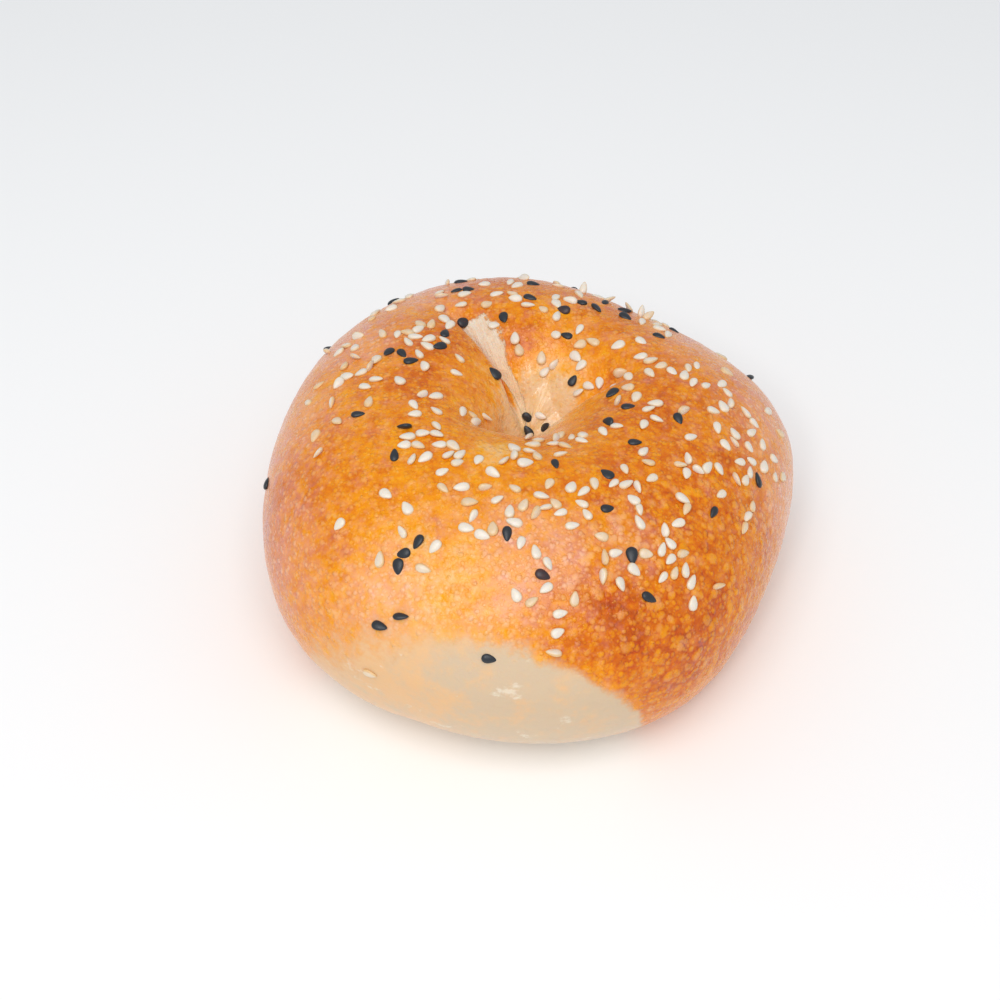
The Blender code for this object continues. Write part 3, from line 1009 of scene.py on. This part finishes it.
def torn_edge(bearing, lap, points):
    """Height of the thin torn ridge along the left of the raw strip."""
    out = from_navel(points)
    across = out * np.radians(beside_tear(bearing, lap, out)) - TORN_EDGE_OFFSET * TORN_EDGE_WIDTH
    notches = soft_noise(points, TORN_EDGE_NOTCH, TORN_EDGE_LAYER)
    ridge = TORN_EDGE_HEIGHT * np.exp(-(across / TORN_EDGE_WIDTH) ** 2) * tear_run(lap)
    return ridge * (TORN_EDGE_EVEN + TORN_EDGE_RAGGED * notches)


def raise_domes(piece):
    """Raise the crust's large blisters as real relief, by the same rule that colours them."""
    group = bpy.data.node_groups.new("blisters", "GeometryNodeTree")
    group.interface.new_socket("Geometry", in_out="INPUT", socket_type="NodeSocketGeometry")
    group.interface.new_socket("Geometry", in_out="OUTPUT", socket_type="NodeSocketGeometry")
    nodes = Nodes(group)
    given = nodes.add("NodeGroupInput")
    named = "GeometryNodeInputNamedAttribute"
    place = nodes.add(named, {"data_type": "FLOAT_VECTOR"}, {"Name": "place"})
    cobbled = nodes.add(named, {"data_type": "FLOAT"}, {"Name": "cobbled"})
    height, _ = nodes.domes(place, *LARGE_DOMES)
    rise = nodes.scaled(nodes.add("GeometryNodeInputNormal"), height * cobbled * DOME_HEIGHT)
    moved = nodes.add("GeometryNodeSetPosition", None, {"Geometry": given, "Offset": rise})
    result = group.nodes.new("NodeGroupOutput")
    nodes.put(result.inputs["Geometry"], moved)
    modifier = piece.modifiers.new("blisters", "NODES")
    modifier.node_group = group
    bpy.context.view_layer.update()
    with bpy.context.temp_override(object=piece, active_object=piece):
        bpy.ops.object.modifier_apply(modifier=modifier.name)
    bpy.data.node_groups.remove(group)


def crust_piece():
    """The whole crust as one closed skin."""
    bearings, laps = np.meshgrid(column_bearings(), ring_laps())
    bearing = np.concatenate([[0.0], bearings.ravel(), [0.0]])
    lap = np.concatenate([[0.0], laps.ravel(), [LAP_END]])
    points, outward = crust(bearing, lap)
    outward[-1] = (0.0, 0.0, -1.0)  # the middle of the dimple
    fields = crust_fields(bearing, lap, points)
    upper = ease((RELIEF_END - lap) / RELIEF_FADE)
    uneven = sum(
        size * soft_noise(points, across, layer) for layer, (across, size) in enumerate(UNEVEN)
    )
    fields["fan"] = fan(bearing, lap)
    folded = ease(lap / PUCKER_START) * (1.0 - ease((lap - PUCKER_END) / PUCKER_FADE))
    folds = PUCKER_HEIGHT * soft_noise(fields["fan"], 1.0, PUCKER_LAYER) * folded
    torn = torn_edge(bearing, lap, points)
    points = points + outward * ((uneven + folds + torn) * upper)[:, None]
    fields["place"] = points
    piece = mesh_piece("crust", points, crust_faces(*bearings.shape), fields)
    raise_domes(piece)
    return piece


# Finishes

def rgba(colour):
    """A colour as the sockets take it."""
    return (*colour, 1.0)


class CrustFinish(Finish):
    """Glossy baked crust: golden to brown and blistered, with bare dough where no heat reached."""

    def __init__(self, look):
        super().__init__("baked_crust")
        self.look = look
        self.place = self.attribute("place", "Vector")
        self.navel = self.attribute("navel")
        fan_place = self.attribute("fan", "Vector")
        self.patterns = {}
        for name, values in PATTERNS.items():
            self.patterns[name] = self.noise(self.place, *values)
        for name, values in FAN_PATTERNS.items():
            self.patterns[name] = self.noise(fan_place, *values)
        self.raise_blisters()
        self.pale = self.window(self.attribute("pale") + self.swing(PALE_EDGE), 0.0, 1.0)
        frayed = self.attribute("raw") + self.swing(RAW_EDGE)
        self.raw = self.window(frayed, 0.0, RAW_SHARPNESS)
        self.bare = self.maths("MAXIMUM", self.pale, self.raw)

    def total(self, shares):
        """The patterns added up, each by its share."""
        first, *others = [self.patterns[name] * share for name, share in shares.items()]
        return sum(others, first)

    def swing(self, shares):
        """The same with each noise counted from its middle, so that it runs about 0."""
        return self.total(shares) - 0.5 * sum(shares.values())

    def raise_blisters(self):
        """Blisters of three sizes, and the rings round them."""
        cobbled = self.attribute("cobbled")
        large, large_ring = self.domes(self.place, *LARGE_DOMES)
        small, small_ring = self.domes(self.place, *SMALL_DOMES)
        fine, fine_ring = self.domes(self.place, *FINE_DOMES)
        self.patterns.update(small=small, fine=fine)
        small_domed = small * (SMALL_SHOW + cobbled * SMALL_SHOW_COBBLED)
        domed = self.maths("MAXIMUM", large * cobbled * LARGE_SHOW, small_domed)
        self.domed = self.maths("MAXIMUM", domed, fine * FINE_SHOW)
        small_ring = small_ring * (SMALL_RING_SHOW + cobbled * SMALL_RING_COBBLED)
        self.rings = large_ring * cobbled + small_ring + fine_ring * FINE_RING_SHOW

    def skin(self):
        """Colour of the baked crust, with a painted pink highlight and sheen mixed in."""
        heat = self.attribute("bake") + self.swing(HEAT) + self.swing(STREAK_HEAT) * self.navel
        heat = heat + self.domed * DOME_HEAT + self.rings * RING_HEAT
        baked = self.add("ShaderNodeValToRGB", {"stops": BAKE_STOPS}, {"Fac": heat})
        blister = self.window(self.domed, *BLISTER_WINDOW)
        skin = self.mix(blister * BLISTER_SHARE, baked, rgba(self.look.blister_colour))
        # Painted highlight and sheen: a pink haze of light mixed into the colour, stronger on the
        # blisters' tops
        haze = PAINTED_HIGHLIGHT_EVEN + blister * PAINTED_HIGHLIGHT_ON_BLISTERS + self.swing(PAINTED_HIGHLIGHT_PATCHES)
        haze = self.attribute("blush") * haze
        skin = self.mix(haze, skin, rgba(self.look.painted_highlight_colour))
        veil = (self.patterns["veil"] - VEIL_MIDDLE) * VEIL_DEPTH
        shift = self.add("ShaderNodeCombineXYZ", None, {"Y": veil * VEIL_GREEN, "Z": veil})
        return self.vector("MAXIMUM", self.vector("ADD", skin, shift), (0.0, 0.0, 0.0))

    def dough(self):
        """Colour of the crust that stayed pale, with flour on it and painted bounce light near the
        foot, and of the raw strip.
        """
        side = self.add("ShaderNodeSeparateXYZ", None, {"Vector": self.place})
        # Painted bounce light: near the foot the dough is mixed towards the flour colour, partly
        # flour, partly light from the floor
        low = 1.0 - self.window(side.other("Z"), *FOOT_FLOUR_AND_BOUNCE)
        warm = 1.0 - self.window(side, *WARM_SIDE)
        tone = self.window(self.total(DOUGH_TONE) + warm * WARM_SHARE, *DOUGH_WINDOW)
        dough = self.mix(tone, rgba(self.look.dough_colour), rgba(self.look.warm_dough_colour))
        squashed = self.vector("MULTIPLY", self.place, FLOUR_SQUASH)
        flour = self.window(self.noise(squashed, *FLOUR), *FLOUR_WINDOW) * self.pale
        light = flour * FLOUR_SHARE + low * FOOT_FLOUR_AND_BOUNCE_SHARE
        dough = self.mix(light, dough, rgba(self.look.flour_colour))
        strands = self.window(self.total(STRAND_TONE), *STRAND_WINDOW) * STRAND_SHARE
        raw = self.mix(strands, rgba(self.look.raw_colour), rgba(self.look.strand_colour))
        raw = self.mix(self.navel * INNER_SHARE, raw, rgba(self.look.inner_colour))
        return self.mix(self.raw, dough, raw)

    def relief(self):
        """Height of the fine relief, in millimetres."""
        height = self.total(RELIEF) * (1.0 - self.bare * BARE_SMOOTHER)
        height = height * (1.0 - self.navel * NAVEL_SMOOTHER)
        return height + self.raw * self.total(RAW_RELIEF)


def crust_finish(look):
    """The material of the crust."""
    finish = CrustFinish(look)
    finish.surface(
        Base_Color=finish.mix(finish.bare, finish.skin(), finish.dough()),
        Roughness=look.roughness + finish.swing(ROUGHNESS_SWING) + finish.bare * BARE_ROUGHER,
        Normal=finish.bump(finish.relief()),
        Coat_Weight=COAT - finish.bare * BARE_COAT_LESS + finish.navel * NAVEL_COAT_MORE,
        Coat_Roughness=0.14,
        Specular_IOR_Level=0.30,
        Sheen_Weight=0.22,
        Sheen_Roughness=0.30,
        Sheen_Tint=(1.0, 0.82, 0.84, 1.0),
        Subsurface_Weight=0.10,
        Subsurface_Radius=(1.0, 0.45, 0.15),
        Subsurface_Scale=1.2 * MM,
    )
    return finish.material


def white_seed_finish(look):
    """Ivory sesame hull, a little translucent, each seed toasted by its own amount, with painted
    shade towards its edges.
    """
    finish = Finish("ivory_sesame")
    place = finish.add("ShaderNodeTexCoord", None, None, "Object")
    cloud = finish.noise(place, *WHITE_CLOUD)
    whole = finish.window(finish.attribute("tint"), *TOASTED_WINDOW) * TOASTED_SHARE
    # Painted shade: the seed's edges are mixed towards the toasted colour
    painted_edge_shade = finish.window(finish.attribute("rim"), *EDGE_SHADE_WINDOW) * EDGE_SHADE_SHARE
    toast_and_edge_shade = finish.window(whole + painted_edge_shade + (cloud - 0.5) * CLOUD_SHARE, 0.0, 1.0)
    finish.surface(
        Base_Color=finish.mix(toast_and_edge_shade, rgba(look.white_colour), rgba(look.toasted_and_edge_shade_colour)),
        Roughness=0.38,
        Normal=finish.bump(finish.noise(place, *WHITE_GRAIN) * WHITE_RELIEF),
        Coat_Weight=0.15,
        Coat_Roughness=0.25,
        Subsurface_Weight=0.35,
        Subsurface_Radius=(1.0, 0.8, 0.5),
        Subsurface_Scale=0.5 * MM,
    )
    return finish.material


def black_seed_finish(look):
    """Blue-black hull with a fine dull sheen; a few seeds are rubbed to brown."""
    finish = Finish("black_sesame")
    place = finish.add("ShaderNodeTexCoord", None, None, "Object")
    cloud = finish.noise(place, *BLACK_CLOUD)
    worn = finish.attribute("tint") + (cloud - 0.5) * WORN_PATCHES
    rubbed = finish.window(worn, *RUBBED_WINDOW) * RUBBED_SHARE
    finish.surface(
        Base_Color=finish.mix(rubbed, rgba(look.black_colour), rgba(look.rubbed_colour)),
        Roughness=BLACK_ROUGHNESS + cloud * BLACK_ROUGHNESS_SWING,
        Normal=finish.bump(finish.noise(place, *BLACK_GRAIN) * BLACK_RELIEF),
        Coat_Weight=0.10,
        Coat_Roughness=0.30,
    )
    return finish.material


def floor_finish(look):
    """Plain pale floor, matt."""
    finish = Finish("pale_floor")
    finish.surface(Base_Color=rgba(look.floor_colour), Roughness=0.9, Specular_IOR_Level=0.1)
    return finish.material


# Stage

def aimed(location, target):
    """Where a lamp or camera stands and how it is turned to look at a point."""
    turn = (Vector(target) - Vector(location)).to_track_quat("-Z", "Y")
    return Matrix.Translation(location) @ turn.to_matrix().to_4x4()


def around(azimuth, elevation, distance):
    """A place round the aim point; azimuth 0 is in front, from -Y, and grows towards +X."""
    flat = math.cos(elevation)
    direction = Vector((math.sin(azimuth) * flat, -math.cos(azimuth) * flat, math.sin(elevation)))
    return AIM + direction * distance


def softbox(name, azimuth, elevation, size, power):
    """A white rectangular lamp aimed at the bagel."""
    lamp = bpy.data.lights.new(name, "AREA")
    lamp.shape = "RECTANGLE"
    lamp.size, lamp.size_y = size
    lamp.energy = power
    holder = bpy.data.objects.new(name, lamp)
    location = around(math.radians(azimuth), math.radians(elevation), LAMP_DISTANCE)
    holder.matrix_world = aimed(location, AIM)
    bpy.context.scene.collection.objects.link(holder)


# Settings a user would change

class BagelCrustSettings(bpy.types.PropertyGroup):
    """Colours and roughness of the crust"""
    blister_colour: FloatVectorProperty(
        name="Blister", description="Colour of the tops of the blisters", subtype="COLOR",
        default=(0.87, 0.405, 0.08), min=0.0, max=1.0)
    # Painted highlight: the pink haze is light and sheen painted into the crust's colour
    painted_highlight_colour: FloatVectorProperty(
        name="Painted highlight", description="Colour of the crust's pink haze", subtype="COLOR",
        default=(0.97, 0.61, 0.52), min=0.0, max=1.0)
    dough_colour: FloatVectorProperty(
        name="Dough", description="Colour of the crust that stayed pale", subtype="COLOR",
        default=(0.67, 0.50, 0.33), min=0.0, max=1.0)
    warm_dough_colour: FloatVectorProperty(
        name="Warm dough", description="Colour of the pale crust where it just began to brown",
        subtype="COLOR", default=(0.82, 0.50, 0.25), min=0.0, max=1.0)
    raw_colour: FloatVectorProperty(
        name="Raw dough", description="Colour of the strip that was folded in while it baked",
        subtype="COLOR", default=(0.84, 0.73, 0.58), min=0.0, max=1.0)
    strand_colour: FloatVectorProperty(
        name="Strands", description="Colour of the warmer strands along that strip",
        subtype="COLOR", default=(0.80, 0.54, 0.33), min=0.0, max=1.0)
    inner_colour: FloatVectorProperty(
        name="Inner dough", description="Colour of that strip at the bottom of the navel",
        subtype="COLOR", default=(0.93, 0.66, 0.38), min=0.0, max=1.0)
    flour_colour: FloatVectorProperty(
        name="Flour", description="Colour of the dry flecks on the pale crust", subtype="COLOR",
        default=(0.86, 0.78, 0.64), min=0.0, max=1.0)
    roughness: FloatProperty(
        name="Roughness", description="Roughness of the baked crust", subtype="FACTOR",
        default=0.27, min=0.0, max=1.0)


class BagelSeedSettings(bpy.types.PropertyGroup):
    """Size and colours of the seeds"""
    length: FloatProperty(
        name="Length", description="Length of a seed",
        default=2.9 * MM, min=1.0 * MM, max=5.0 * MM, unit="LENGTH", precision=5)
    width: FloatProperty(
        name="Width", description="Width of a seed",
        default=1.85 * MM, min=0.5 * MM, max=3.0 * MM, unit="LENGTH", precision=5)
    thickness: FloatProperty(
        name="Thickness", description="Thickness of a seed",
        default=1.0 * MM, min=0.3 * MM, max=2.0 * MM, unit="LENGTH", precision=5)
    white_colour: FloatVectorProperty(
        name="White", description="Colour of a plain white seed", subtype="COLOR",
        default=(0.80, 0.72, 0.61), min=0.0, max=1.0)
    # Also the colour of the painted shade at the seeds' edges
    toasted_and_edge_shade_colour: FloatVectorProperty(
        name="Toasted", description="Colour of a toasted white seed", subtype="COLOR",
        default=(0.76, 0.50, 0.24), min=0.0, max=1.0)
    black_colour: FloatVectorProperty(
        name="Black", description="Colour of a black seed", subtype="COLOR",
        default=(0.016, 0.020, 0.026), min=0.0, max=1.0)
    rubbed_colour: FloatVectorProperty(
        name="Rubbed", description="Colour of a black seed whose hull is worn", subtype="COLOR",
        default=(0.10, 0.02, 0.01), min=0.0, max=1.0)


class BagelStageSettings(bpy.types.PropertyGroup):
    """Light, floor and camera"""
    floor_colour: FloatVectorProperty(
        name="Floor", description="Colour of the floor", subtype="COLOR",
        default=(0.98, 0.97, 0.95), min=0.0, max=1.0)
    fill_light: FloatProperty(
        name="Fill", description="Strength of the light from all round", default=0.58, min=0.0)
    key_power: FloatProperty(
        name="Key", description="Power of the large lamp above", default=4.2, min=0.0, unit="POWER")
    elevation: FloatProperty(
        name="Elevation", description="How high the camera looks from", default=math.radians(44.0),
        min=0.0, max=math.pi / 2.0, subtype="ANGLE")
    distance: FloatProperty(
        name="Distance", description="From the camera to the bagel's middle",
        default=0.300, min=0.1, unit="LENGTH")


# One operator for each piece

def dress(piece, material):
    """Give a piece its material and its place in the model."""
    piece.data.materials.append(material)
    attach(piece, BODY)
    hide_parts(NODE)


class BAGEL_OT_stage(bpy.types.Operator):
    """Set the camera, the lamps and the floor"""
    bl_idname = "bagel.stage"
    bl_label = "Stage"

    def execute(self, context):
        look = context.scene.bagel_stage
        scene = context.scene
        camera = bpy.data.cameras.new("camera")
        camera.sensor_width = SENSOR
        camera.lens = SENSOR * FOCAL_SHARE
        camera.shift_x, camera.shift_y = VIEW_SHIFT
        camera.clip_start = CLIP_START
        holder = bpy.data.objects.new("camera", camera)
        holder.matrix_world = aimed(around(0.0, look.elevation, look.distance), AIM)
        scene.collection.objects.link(holder)
        scene.camera = holder
        world = bpy.data.worlds.new("fill")
        world.use_nodes = True
        background = world.node_tree.nodes["Background"]
        background.inputs["Color"].default_value = rgba(FILL_COLOUR)
        background.inputs["Strength"].default_value = look.fill_light
        scene.world = world
        scene.view_settings.view_transform = "Standard"
        for name, azimuth, elevation, size, share in LAMPS:
            softbox(name, azimuth, elevation, size, look.key_power * share)
        bpy.ops.mesh.primitive_plane_add(size=FLOOR_SIZE, location=(0.0, 0.0, 0.0))
        floor = context.active_object
        floor.name = "floor"
        floor.data.materials.append(floor_finish(look))
        return {"FINISHED"}


class BAGEL_OT_crust(bpy.types.Operator):
    """Make the baked crust"""
    bl_idname = "bagel.crust"
    bl_label = "Crust"

    def execute(self, context):
        piece = crust_piece()
        dress(piece, crust_finish(context.scene.bagel_crust))
        return {"FINISHED"}


class BAGEL_OT_seeds(bpy.types.Operator):
    """Scatter the white and black seeds over the crust"""
    bl_idname = "bagel.seeds"
    bl_label = "Seeds"

    def execute(self, context):
        look = context.scene.bagel_seeds
        black, white = scatter(look.length)
        white_seeds = seed_piece("white_seeds", white, look, WHITE_DRAW)
        dress(white_seeds, white_seed_finish(look))
        black_seeds = seed_piece("black_seeds", black, look, BLACK_DRAW)
        dress(black_seeds, black_seed_finish(look))
        return {"FINISHED"}


class BAGEL_PT_sidebar(bpy.types.Panel):
    """Buttons and settings of the bagel"""
    bl_label = "Sesame Bagel"
    bl_space_type = "VIEW_3D"
    bl_region_type = "UI"
    bl_category = "Bagel"

    def draw(self, context):
        for settings_name, operator in SECTIONS:
            box = self.layout.box()
            box.operator(operator)
            settings = getattr(context.scene, settings_name)
            for name in settings.bl_rna.properties.keys():
                if name not in ("rna_type", "name"):
                    box.prop(settings, name)


SECTIONS = [
    ("bagel_stage", "bagel.stage"),
    ("bagel_crust", "bagel.crust"),
    ("bagel_seeds", "bagel.seeds"),
]
SETTINGS = [
    ("bagel_stage", BagelStageSettings),
    ("bagel_crust", BagelCrustSettings),
    ("bagel_seeds", BagelSeedSettings),
]
CLASSES = (
    BagelStageSettings,
    BagelCrustSettings,
    BagelSeedSettings,
    BAGEL_OT_stage,
    BAGEL_OT_crust,
    BAGEL_OT_seeds,
    BAGEL_PT_sidebar,
)


def register():
    """Add the classes and the scene's settings to Blender."""
    for entry in CLASSES:
        bpy.utils.register_class(entry)
    for name, group in SETTINGS:
        setattr(bpy.types.Scene, name, PointerProperty(type=group))


def unregister():
    """Take them out again."""
    for name, _ in SETTINGS:
        delattr(bpy.types.Scene, name)
    for entry in reversed(CLASSES):
        bpy.utils.unregister_class(entry)


def main():
    """Make the bagel and its stage."""
    register()
    bpy.ops.bagel.stage()
    bpy.ops.bagel.crust()
    bpy.ops.bagel.seeds()


if __name__ == "__main__":
    main()
